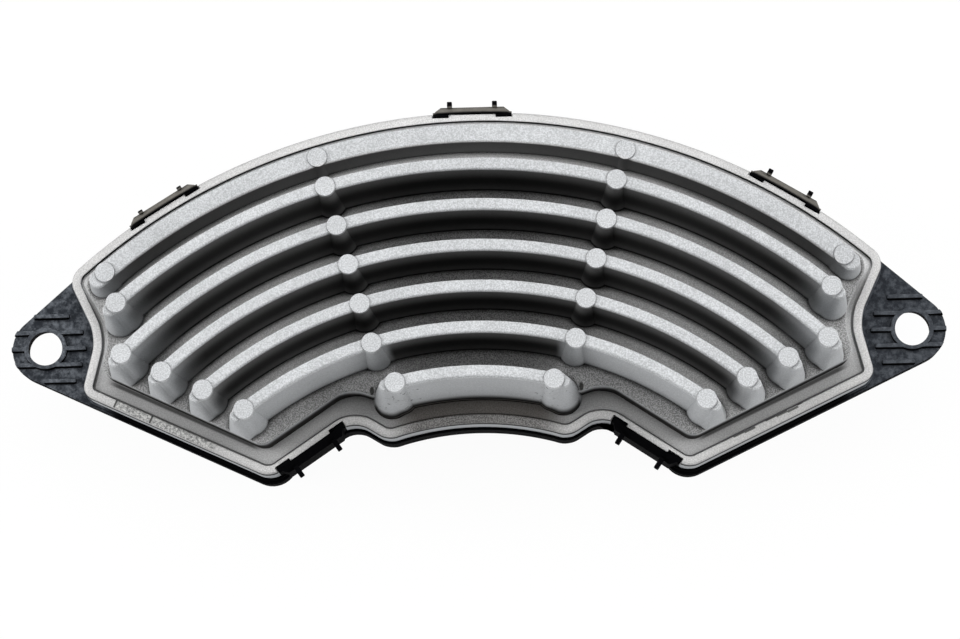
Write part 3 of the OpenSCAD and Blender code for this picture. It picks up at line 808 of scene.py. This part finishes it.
back = ARM_GAP + ARM_T
section = [
    (-ARM_ROOT, ARM_FOOT_Z), (back, ARM_FOOT_Z), (back, ARM_TOP_Z), (-HOOK_L, ARM_TOP_Z),
    (-HOOK_L, HOOK_Z), (ARM_GAP, HOOK_Z), (ARM_GAP, FOOT_TOP_Z), (-ARM_ROOT, FOOT_TOP_Z),
]
points = [Vector((-ARM_L / 2, y, z)) for y, z in section]
pen = Pen("snap_arm", points[0])
pen.line(*points[1:])
pen.fill()
move(x=ARM_L)
end_edit()
arm = pen.obj
turn_outwards(arm)
begin_edit(arm)
pick(arm, "EDGE", lambda edge: all(
    abs(abs(v.co.x) - ARM_L / 2) < TINY and abs(v.co.y - back) < TINY for v in edge.verts
))
bpy.ops.mesh.bevel(offset=END_CHAMFER, segments=1, affect="EDGES")
pick(arm, "EDGE", lambda edge: (
    all(v.co.z > ARM_TOP_Z - TINY for v in edge.verts)
    and abs(edge.verts[0].co.x + edge.verts[1].co.x) > ARM_L - END_CHAMFER - TINY
))
bpy.ops.mesh.bevel(offset=END_SLANT, segments=1, affect="EDGES")
end_edit()
low = (-HOOK_MIDDLE, -HOOK_L - PAST, 0)
recess = block("recess", low, (HOOK_MIDDLE, -HOOK_SHORT, NOTCH_TOP_Z), NOTCH_EASE)
combine(arm, [recess], "DIFFERENCE")
ease(arm, lambda p: p.z > ARM_TOP_Z - TINY, ARM_EASE)
print(count(arm))

# %% [markdown]
# Two small pegs stand out from each arm's back, and they differ in length from arm to arm.
# So each arm is a copy with its own mesh, which gets its pegs before it goes to its place.

# %% Five snap arms with pegs
PEG_X, PEG_W, PEG_Z = 3.65 * MM, 0.8 * MM, (3.6 * MM, 4.6 * MM)
PEG_OUT = [0.3 * MM, 0.8 * MM, 0.8 * MM, 1.8 * MM, 1.8 * MM]
PEG_SINK, PEG_EASE = 0.2 * MM, 0.12 * MM

arms = []
for matrix, peg_out in zip(arm_places(), PEG_OUT):
    twin = copy_to(arm, (0, 0, 0))
    pegs = []
    for side in (-1, 1):
        low = (side * PEG_X - PEG_W / 2, back - PEG_SINK, PEG_Z[0])
        high = (side * PEG_X + PEG_W / 2, back + peg_out, PEG_Z[1])
        peg = block("peg", low, high)
        ease(peg, lambda p: p.y > back, PEG_EASE)
        pegs.append(peg)
    combine(twin, pegs, "UNION")
    twin.data.transform(matrix)
    arms.append(twin)
bpy.data.objects.remove(arm)
print(len(arms), "arms:", count(arms[0]))

# %% [markdown]
# The connector socket opens at the back. It is a block with a deep opening and slots for
# the blades, and four posts beside it carry the circuit board. Everything is joined and
# cut in the order in which the cavity needs it.

# %% Socket, posts and one housing
SOCKET_Y = 12 * MM
SOCKET = Vector((46, 13, 10)) * MM
SOCKET_END = 1.5 * MM
BOARD_Z = (-6.6 * MM, -5 * MM)
POSTS = [(52.5, 2.5), (36, -12.5)]
POST_R = 3.2 * MM
THREAD_L = 8.5 * MM
BLADES = [-14.4, -4.8, 4.8, 14.4]
BLADE_W, BLADE_T, CONTROL_X = 6.4 * MM, 0.9 * MM, 20.4 * MM
MOUTH_EASE, OVERLAP = 0.8 * MM, 0.5 * MM

combine(housing, [band, ear, left_ear], "UNION")
combine(housing, [cavity], "DIFFERENCE")
half_w, half_h = SOCKET.x / 2 + WALL_T, SOCKET.y / 2 + WALL_T
low = (-half_w, SOCKET_Y - half_h, BACK_Z)
high = (half_w, SOCKET_Y + half_h, BACK_Z + SOCKET.z + SOCKET_END)
parts = arms + [block("socket", low, high)]
threads = []
for x, y in POSTS:
    for side in (-1, 1):
        place = (side * x * MM, y * MM)
        parts.append(round_bar("post", POST_R, BACK_Z + WALL_T - OVERLAP, BOARD_Z[0], place))
        threads.append(round_bar("thread", SCREW_R, BOARD_Z[1] - THREAD_L, BOARD_Z[1] + OVERLAP, place))
combine(housing, parts, "UNION")
low = (-SOCKET.x / 2, SOCKET_Y - SOCKET.y / 2, BACK_Z - PAST)
high = (SOCKET.x / 2, SOCKET_Y + SOCKET.y / 2, BACK_Z + SOCKET.z)
mouth = block("mouth", low, high, MOUTH_EASE)
slots = []
for x, width in [(x * MM, BLADE_W) for x in BLADES] + [(CONTROL_X, BLADE_T)]:
    low = (x - width / 2, SOCKET_Y - BLADE_T / 2, BACK_Z + SOCKET.z - PAST)
    slots.append(block("slot", low, (x + width / 2, SOCKET_Y + BLADE_T / 2, 0)))
combine(housing, [mouth] + threads, "DIFFERENCE")
combine(housing, slots, "DIFFERENCE")
print(count(housing))

# %% [markdown]
# Smooth shading across a sharp edge looks like a dent. So both pieces are smoothed only
# where their faces meet at a small angle, and weighted normals keep the flat faces flat.
# Then both are handed over to the frame: they stand for their nodes and ride with the
# part's one body.

# %% Hand over casting and housing
SMOOTH_BELOW = 35


def finish_piece(obj, node):
    """Smooth a piece by angle, keep its flat faces flat, and let it stand for its node."""
    select_only(obj)
    bpy.ops.object.shade_smooth_by_angle(angle=math.radians(SMOOTH_BELOW))
    weighted = obj.modifiers.new("weighted", "WEIGHTED_NORMAL")
    weighted.keep_sharp = True
    apply_modifiers(obj)
    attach(obj, "root")
    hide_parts(node)
    print(obj.name, "spans", [round(side / MM, 1) for side in obj.dimensions], "mm")


finish_piece(casting, "heat_sink")
finish_piece(housing, "housing")

# %% [markdown]
# Shader maths reads best as plain expressions. This small class wraps a socket, so that
# adding or multiplying two sockets adds the Math node for it. Any other node comes from
# one method, which takes the node's type, its settings and its inputs.

# %% Shader expressions


class Wire:
    """A socket of a node tree that can be used in expressions."""

    def __init__(self, tree, socket):
        self.tree = tree
        self.socket = socket

    def node(self, kind, settings=None, out=0, **inputs):
        """Add a node and return its output. An input is named, or numbered as in _1."""
        made = self.tree.nodes.new("ShaderNode" + kind)
        for name, value in (settings or {}).items():
            setattr(made, name, value)
        for name, value in inputs.items():
            key = int(name[1:]) if name[0] == "_" else name.replace("_", " ")
            self.join(value, made.inputs[key])
        return Wire(self.tree, made.outputs[out])

    def join(self, value, socket):
        """Link a wire to a socket, or set a plain value on it."""
        if isinstance(value, Wire):
            self.tree.links.new(value.socket, socket)
        else:
            socket.default_value = value

    def math(self, operation, *values):
        """A Math node on wires and numbers."""
        inputs = {f"_{i}": value for i, value in enumerate(values)}
        return self.node("Math", {"operation": operation}, **inputs)

    def __add__(self, other):
        return self.math("ADD", self, other)

    __radd__ = __add__

    def __mul__(self, other):
        return self.math("MULTIPLY", self, other)

    __rmul__ = __mul__

    def __sub__(self, other):
        return self.math("SUBTRACT", self, other)

    def __rsub__(self, other):
        return self.math("SUBTRACT", other, self)

    def __truediv__(self, other):
        return self.math("DIVIDE", self, other)

    def step(self, low, high):
        """0 below low, 1 above high, smooth between."""
        settings = {"interpolation_type": "SMOOTHSTEP"}
        return self.node("MapRange", settings, Value=self, _1=low, _2=high)

    def noise(self, scale, detail=2.0, rough=0.5):
        """Noise over the coordinates that this wire carries, per metre."""
        return self.node("TexNoise", Vector=self, Scale=scale, Detail=detail, Roughness=rough)

    def mix(self, first, second):
        """Colour between two colours, with this wire as the factor."""
        settings = {"data_type": "RGBA"}
        return self.node("Mix", settings, out=2, Factor=self, _6=first, _7=second)

    def axes(self):
        """The three parts of a vector."""
        return [self.node("SeparateXYZ", out=i, Vector=self) for i in range(3)]

    def within(self, low, high, soft):
        """1 between two values, falling to 0 over a soft edge outside them."""
        return self.step(low - soft, low) * (1 - self.step(high, high + soft))


print("a wire adds nodes for:", [name for name in vars(Wire) if not name.startswith("_")])

# %% [markdown]
# Every finish below is one Principled shader. What is the same all over a piece is set on
# the shader's own socket, and what changes over the surface comes in by a wire. All patterns
# hang on the object's own coordinates, so they stay in place when the part is turned.

# %% Materials and their sockets


def colour(red, green, blue):
    """Linear colour of three screen values from 0 to 255."""
    def linear(value):
        value /= 255
        return value / 12.92 if value <= 0.04045 else ((value + 0.055) / 1.055) ** 2.4
    return (linear(red), linear(green), linear(blue), 1)


def material(name, metallic=0.0, **constants):
    """A new material: its shader, and a wire that carries the object's coordinates."""
    made = bpy.data.materials.new(name)
    made.use_nodes = True
    tree = made.node_tree
    shader = tree.nodes["Principled BSDF"]
    shader.inputs["Metallic"].default_value = metallic
    for socket, value in constants.items():
        shader.inputs[socket.replace("_", " ")].default_value = value
    place = tree.nodes.new("ShaderNodeTexCoord")
    return made, shader, Wire(tree, place.outputs["Object"])


def feed(shader, wire, socket):
    """Link a wire to one of the shader's sockets."""
    wire.join(wire, shader.inputs[socket])


def bump(shader, height, strength, distance):
    """Feed a height into the shader's normal, as a Bump node."""
    out = height.node("Bump", Strength=strength, Distance=distance, Height=height)
    feed(shader, out, "Normal")


def dress(obj, made):
    """Give a piece one material."""
    obj.data.materials.clear()
    obj.data.materials.append(made)


print("mid grey on screen is", round(colour(128, 128, 128)[0], 3), "in the shader")

# %% [markdown]
# Sand-blasted aluminium is bright but not shiny: countless small dents scatter the light.
# Between the fins, and in other places where shade falls, the colour is darkened as painted
# shade. So the finish first needs to know where on the casting it is: how high, how far
# from the fins' centre, and whether the face is a wall. A zone is a wire that is 1 inside
# it and 0 outside, and its limits are millimetres of the drawing.

# %% Zones of the casting
aluminium, shader, at = material("blasted_aluminium", metallic=1.0)
x, y, z = [axis / MM for axis in at.axes()]
wide = x.math("ABSOLUTE", x)
right = x.step(-1, 1)
normal = at.node("TexCoord", out=1).axes()
wall = 1 - normal[2].math("ABSOLUTE", normal[2]).step(0.25, 0.75)
south = (0 - normal[1]).step(0.1, 0.5)
flat = 1 - wall
up = y + ARC_DROP / MM
radius = at.math("SQRT", x * x + up * up)
slope = wide / up

tops = z.step(20.7, 20.9) + z.within(14.7, 15.6, 0.2) * radius.step(88.6, 88.8)
rim = z.within(4.2, 4.6, 0.1) * flat
side = wall * z.within(-1, 4.3, 0.1)
plateau_floor = flat * z.within(9.2, 9.5, 0.1)
# Zones of painted shade: the channels between the fins, and the low fin's channel.
between = z.within(9.3, 20.9, 0.3) * (1 - slope.step(0.74, 0.92))
channel = between * radius.within(59.4, 83, 0.6)
channel = channel + between * radius.within(52.6, 58, 0.4) * (1 - slope.step(0.225, 0.25))
outer_channel = between * radius.within(84, 89, 0.4)
# Painted shadow zone: the lower part of the walls that face the lower edge, as on the plateau.
ledge_shadow = wall * south * z.step(3.4, 3.6) * (1 - (z - wide.step(19, 22) * 1.4).step(5, 8.6))
# Painted shadow zone: the rim and shelf of the lower middle, in the shadow of the short fin.
middle = (1 - radius.step(49.6, 50.2)) * (1 - slope.step(0.2, 0.34))
middle = middle * (1 - z.step(4.6, 5)) * (1 - side)
print("zones of the casting:", len(aluminium.node_tree.nodes), "nodes")

# %% [markdown]
# A die casting keeps marks of its making. Where the gate was broken off, the rim of the
# left leg is coarse, with a dark step at each end. On the right leg, a stepped line of
# flash follows the rim. Both lie along the legs, so they get a coordinate that runs along
# the leg and one that runs inwards from its edge. The short fin's ends have small pits,
# and beside the outer end of each of its tails a dark spot is painted shadow. In the
# corners at the feet of walls, painted shade darkens a line, and an Ambient Occlusion node
# that looks no further than a wall's foot finds these corners. The painted shade is
# broader along the legs, and faint in the upper rim's gutter.

# %% Marks of the casting
LEG_X, LEG_Y = 63.4, -8.3
LEG_RUN, LEG_FALL = 0.906, 0.423
along = (LEG_X - wide) * LEG_RUN - (y - LEG_Y) * LEG_FALL
inward = (LEG_X - wide) * LEG_FALL + (y - LEG_Y) * LEG_RUN
on_rim = (1 - right) * inward.within(0.3, 1.45, 0.1) * z.step(4, 4.2)
gate = on_rim * (along.within(6, 11.7, 0.2) + along.within(12.4, 23, 0.6))
gate_step = on_rim * (along.within(5.6, 5.8, 0.1) + along.within(11.9, 12.1, 0.1))
jag = along.math("FRACT", along.math("SNAP", along, 1.9) * 0.37)
flash_run = right * along.within(12.5, 26.5, 0.2) * jag.step(0.1, 0.2)
flash = (inward + jag * 0.5).within(1.5, 1.8, 0.05) * z.step(3.2, 3.4) * (1 - z.step(5, 6))
coarse = at.noise(3000, 3, 0.8)
pits = at.noise(1300, 2, 0.5).step(0.66, 0.7) * (1 - radius.step(54, 54.5))
pits = pits * wide.within(9, 18, 0.5) * z.within(6, 20, 1)
# A dark spot beside each tail of the short fin: painted shadow.
tail_shadow_x, tail_shadow_y = (wide - 16.5) / 0.4, (y + 9.5) / 0.8
tail_shadow_spots = (1 - (tail_shadow_x * tail_shadow_x + tail_shadow_y * tail_shadow_y).step(0.4, 1)) * z.within(9, 9.6, 0.2)
# Real marks of the casting, together with the painted shadow spots at the tails.
marks_and_shadow_spots = gate_step * 0.8 + flash_run * flash * 0.7 + pits * 0.8 + tail_shadow_spots * 0.8
nearby = {"samples": 6, "only_local": True}
# Painted shade in the corners at the feet of walls, found by Ambient Occlusion.
corner = 1 - at.node("AmbientOcclusion", nearby, out=1, Distance=1.3 * MM).step(0.52, 0.86)
# Painted shade as a broader line at the plateau's foot along the legs.
foot_shade_line = flat * z.within(3.3, 3.9, 0.1) * inward.within(3.55, 3.85, 0.35)
foot_shade_line = foot_shade_line * along.within(5, 28, 2.5) * 0.7
gutter = y.step(0, 12) * (1 - z.step(3.5, 3.6))
corner = corner * (0.5 - 0.35 * (gutter + z.within(3.6, 5, 0.1)) + 0.4 * z.within(6, 13, 1))
print("marks of the casting:", len(aluminium.node_tree.nodes), "nodes")

# %% [markdown]
# Now every zone gets its tone. Fine noise is the grain of the blasting, and a coarser noise
# gives the faint clouds of the casting skin. The channels between the fins are painted in
# shade: their walls fall to near black half way down, turn a little lighter above the floor
# as painted reflected light, and end in a dark seam of painted shade. Towards the part's
# ends the painted shade in the channels is lighter.

# %% Blasted aluminium
grain = at.noise(4700, 2, 0.6)
clouds = at.noise(160, 3, 0.5)
bright = grain.step(0.34, 0.66) * 0.58 + clouds * 0.4


def tone(low, high, warm=0):
    """Grey between two screen values, varied by grain and clouds, with less blue if warm."""
    dark, light = [colour(value, value - warm / 2, value - warm) for value in (low, high)]
    return bright.mix(dark, light)


# The shelf is painted darker towards the lower edge, as painted shadow, and near white above, as painted
# light.
shelf = y.step(-9, 1).mix(tone(172, 212), tone(222, 254))
face = wall.mix(shelf, tone(176, 208, -4))
face = tops.mix(face, tone(180, 232, -3))
face = rim.mix(face, tone(194, 236, 1))
# The plate's outer side is painted lighter where it faces the lower edge, as painted light.
face = side.mix(face, south.mix(tone(140, 168, -3), tone(172, 198, -6)))
face = plateau_floor.mix(face, tone(110, 222))
# In the low fin's channel the walls are painted darker, as painted shade.
face = outer_channel.mix(face, wall.mix(tone(190, 236), tone(116, 136)))
outwards = wide.step(4, 36)
# Painted shade in the channels: dark floors and walls, painted reflected light above the floor, a dark
# seam at the foot, all lighter towards the part's ends.
channel_floor_shade = outwards.mix(tone(70, 170), tone(200, 255))
wall_shade = outwards.mix(tone(36, 54), tone(58, 80))
wall_foot_reflection = outwards.mix(tone(80, 104), tone(122, 144))
channel_wall_shade = z.step(10.5, 14.5).mix(wall_foot_reflection, wall_shade)
channel_wall_shade = z.step(15.5, 21).mix(channel_wall_shade, tone(132, 158))
channel_wall_shade = z.step(9.9, 10.5).mix(tone(14, 26), channel_wall_shade)
face = channel.mix(face, wall.mix(channel_floor_shade, channel_wall_shade))
# The plateau's lower wall gets a dark tone as painted shadow.
face = ledge_shadow.mix(face, tone(26, 44, 4))
# The rim and shelf of the lower middle are painted darker and warmer, as painted shadow.
face = middle.mix(face, rim.mix(tone(106, 150, 7), tone(84, 200, 3)))
broken = coarse.step(0.36, 0.62).mix(colour(150, 150, 150), colour(228, 228, 226))
face = gate.mix(face, broken)
face = marks_and_shadow_spots.mix(face, colour(40, 38, 34))
# Painted shade in corners and at the plateau's foot.
face = corner.math("MAXIMUM", corner, foot_shade_line).mix(face, colour(16, 16, 15))
feed(shader, face, "Base Color")
feed(shader, grain * 0.15 + 0.74 - wall * 0.06, "Roughness")
bump(shader, grain + gate * coarse * 2, 0.35, 0.05 * MM)
dress(casting, aluminium)
print("aluminium:", len(aluminium.node_tree.nodes), "nodes")

# %% [markdown]
# The housing is a black moulding compound. It is dull, with a fine texture from the mould.
# The ears are greyed by scuffs where they rubbed against other parts, the left one more.
# The walls of their ribs stay black, and the ribs' rounds that face the lower edge are left
# black as painted shade, while the ribs' tops are painted a little lighter as painted
# highlight. The snap arms' tops are brownish grey, painted lighter towards their outer edge
# as painted highlight.
# The body behind the band kept a little of the mould's gloss, which a weak coat gives it.

# %% Black moulding
plastic, shader, at = material("black_moulding", Specular_IOR_Level=0.008, Coat_Roughness=0.45)
x, y, z = [axis / MM for axis in at.axes()]
up = y + ARC_DROP / MM
radius = at.math("SQRT", x * x + up * up)
normal = at.node("TexCoord", out=1).axes()
# Faces that turn to the lower edge are left black: painted shade on the ribs' rounds.
level_outside_shade = normal[2].step(0.1, 0.4) * (1 - (0 - normal[1]).step(0.2, 0.5))
texture = at.noise(2600, 2, 0.6)
blotch = at.noise(800, 5, 0.75)
wide = x.math("ABSOLUTE", x)
ears = wide.step(58, 62) * level_outside_shade
# The rib tops are painted a little lighter: painted highlight.
rib_highlight = z.step(-0.35, -0.1)
scuff_and_rib_highlight = blotch.step(0.38, 0.74) * (0.64 - x.step(-10, 10) * 0.26) + rib_highlight * 0.12
# The snap arms' tops are painted lighter towards their outer edge: painted highlight.
arm_top_highlight = z.step(3.4, 3.6) * radius.within(96.8, 97.2, 0.5)
body = 1 - z.step(-4.7, -4.5)
band_tone = texture.mix(colour(3, 3, 4), colour(12, 12, 14))
body_tone = texture.mix(colour(24, 24, 26), colour(46, 46, 49))
face = body.mix(band_tone, body_tone)
face = ears.mix(face, scuff_and_rib_highlight.mix(colour(44, 47, 52), colour(128, 133, 140)))
face = arm_top_highlight.mix(face, blotch.mix(colour(76, 73, 68), colour(130, 127, 122)))
feed(shader, face, "Base Color")
feed(shader, texture * 0.25 + 0.6, "Roughness")
feed(shader, body * 0.3, "Coat Weight")
bump(shader, texture, 0.3, 0.05 * MM)
dress(housing, plastic)
print("moulding:", len(plastic.node_tree.nodes), "nodes")

# %% [markdown]
# The pieces inside are seen only when the part is opened in a viewer. Each keeps the shape
# of the construction model and gets the finish of its material: how metallic it is, how
# rough, and two tones that a fine noise mixes.

# %% Finishes of the inner pieces
FINISHES = {
    "board_laminate": (0, 0.45, (22, 70, 44), (38, 96, 62)),
    "device_resin": (0, 0.6, (24, 24, 25), (42, 42, 43)),
    "pad_rubber": (0, 0.7, (128, 134, 140), (156, 162, 168)),
    "spring_steel": (1, 0.35, (148, 148, 150), (182, 182, 184)),
    "zinc_steel": (1, 0.4, (170, 170, 166), (206, 206, 200)),
    "can_sleeve": (0, 0.35, (18, 22, 40), (28, 34, 56)),
    "ferrite": (0, 0.65, (46, 46, 48), (70, 70, 72)),
    "copper_wire": (1, 0.35, (176, 98, 58), (208, 132, 88)),
    "resistance_alloy": (1, 0.4, (138, 134, 126), (170, 166, 156)),
    "fuse_ceramic": (0, 0.5, (208, 204, 192), (232, 228, 218)),
    "chip_resin": (0, 0.55, (22, 22, 23), (38, 38, 40)),
    "chip_ceramic": (0, 0.5, (158, 128, 96), (190, 162, 128)),
    "tinned_brass": (1, 0.3, (184, 180, 168), (216, 212, 202)),
}


def finish(slot, metallic, roughness, dark, light):
    """A speckled finish for one slot, with a little bump of the same grain."""
    made, shader, at = material(slot, metallic)
    speck = at.noise(1800, 3, 0.6)
    feed(shader, speck.step(0.25, 0.75).mix(colour(*dark), colour(*light)), "Base Color")
    feed(shader, speck * 0.2 + (roughness - 0.1), "Roughness")
    bump(shader, speck, 0.15, 0.03 * MM)
    return made


finishes = {slot: finish(slot, *values) for slot, values in FINISHES.items()}
dressed = [part for part in frame["record"]["subparts"] if part["material_slot"] in finishes]
for part in dressed:
    dress(nodes[part["node"]], finishes[part["material_slot"]])
print(len(dressed), "inner pieces in", len(finishes), "finishes")

# %% [markdown]
# The camera stands above the fins and a little towards the lower edge, tilted back to the
# middle. Its place and turn are the ones at which the part lines up with the photograph.

# %% Camera
CAMERA_AT = Vector((11.5, -71.4, 439.6)) * MM
CAMERA_TURN = (9.62, 1.41, -1.35)
LENS = 103.5

bpy.ops.object.camera_add()
camera = bpy.context.object
camera.name = "camera"
camera.location = CAMERA_AT
camera.rotation_mode = "ZYX"
camera.rotation_euler = [math.radians(turn) for turn in CAMERA_TURN]
camera.data.lens = LENS
camera.data.clip_start = 10 * MM
bpy.context.scene.camera = camera
print("camera stands", round(camera.location.z / MM), "mm above the ear ribs")

# %% [markdown]
# The floor is a large pale plane just under the housing. It keeps the soft shadow, and for
# the camera and for reflections it is near white: a Light Path node tells the floor's
# material which rays ask for its colour.

# %% Floor
FLOOR_GAP, FLOOR_SIZE = 0.2 * MM, 6
FLOOR_Z = cad_box[0][2] - FLOOR_GAP
WHITE_SHARE = 0.96

bpy.ops.mesh.primitive_plane_add(size=FLOOR_SIZE, location=(0, 0, FLOOR_Z))
floor = bpy.context.object
floor.name = "floor"
paper, shader, at = material("pale_floor", Roughness=0.9)
clouds = at.noise(3, 2, 0.5)
feed(shader, clouds.mix(colour(244, 244, 244), colour(248, 248, 248)), "Base Color")
by_camera, by_gloss = at.node("LightPath", out=0), at.node("LightPath", out=3)
seen = at.math("MAXIMUM", by_camera, by_gloss)
glow = at.node("Emission", Color=(1, 1, 1, 1), Strength=1.0)
plain = Wire(at.tree, shader.outputs[0])
whole = at.node("MixShader", _0=seen * WHITE_SHARE, _1=plain, _2=glow)
whole.join(whole, paper.node_tree.nodes["Material Output"].inputs["Surface"])
dress(floor, paper)
print("floor lies", round(-FLOOR_Z / MM, 1), "mm below the ear ribs")

# %% [markdown]
# The light is that of a plain studio: a large soft lamp above the upper arc, which leaves
# the lower walls of the fins in shade, a weaker one at each end, and a faint even sky.

# %% Lights
SKY = 0.15
world = bpy.context.scene.world or bpy.data.worlds.new("studio")
bpy.context.scene.world = world
world.use_nodes = True
sky = world.node_tree.nodes["Background"]
sky.inputs["Color"].default_value = (1, 1, 1, 1)
sky.inputs["Strength"].default_value = SKY


def lamp(name, place, aim, size, power):
    """Square soft light at a place in millimetres, turned towards a point."""
    bpy.ops.object.light_add(type="AREA")
    light = bpy.context.object
    light.name = name
    light.location = Vector(place) * MM
    light.data.size = size * MM
    light.data.energy = power
    light.rotation_euler = (Vector(aim) - Vector(place)).to_track_quat("-Z", "Y").to_euler()
    return light


lamps = [
    lamp("key", (0, 260, 760), (0, 0, 0), 700, 4.9),
    lamp("left", (-650, 40, 400), (-40, 0, 0), 400, 3.4),
    lamp("right", (650, 40, 400), (40, 0, 0), 400, 3.2),
]
print("lamps:", [(light.name, round(light.data.energy, 1)) for light in lamps])
bpy.context.scene.view_settings.view_transform = "Standard"

# %% [markdown]
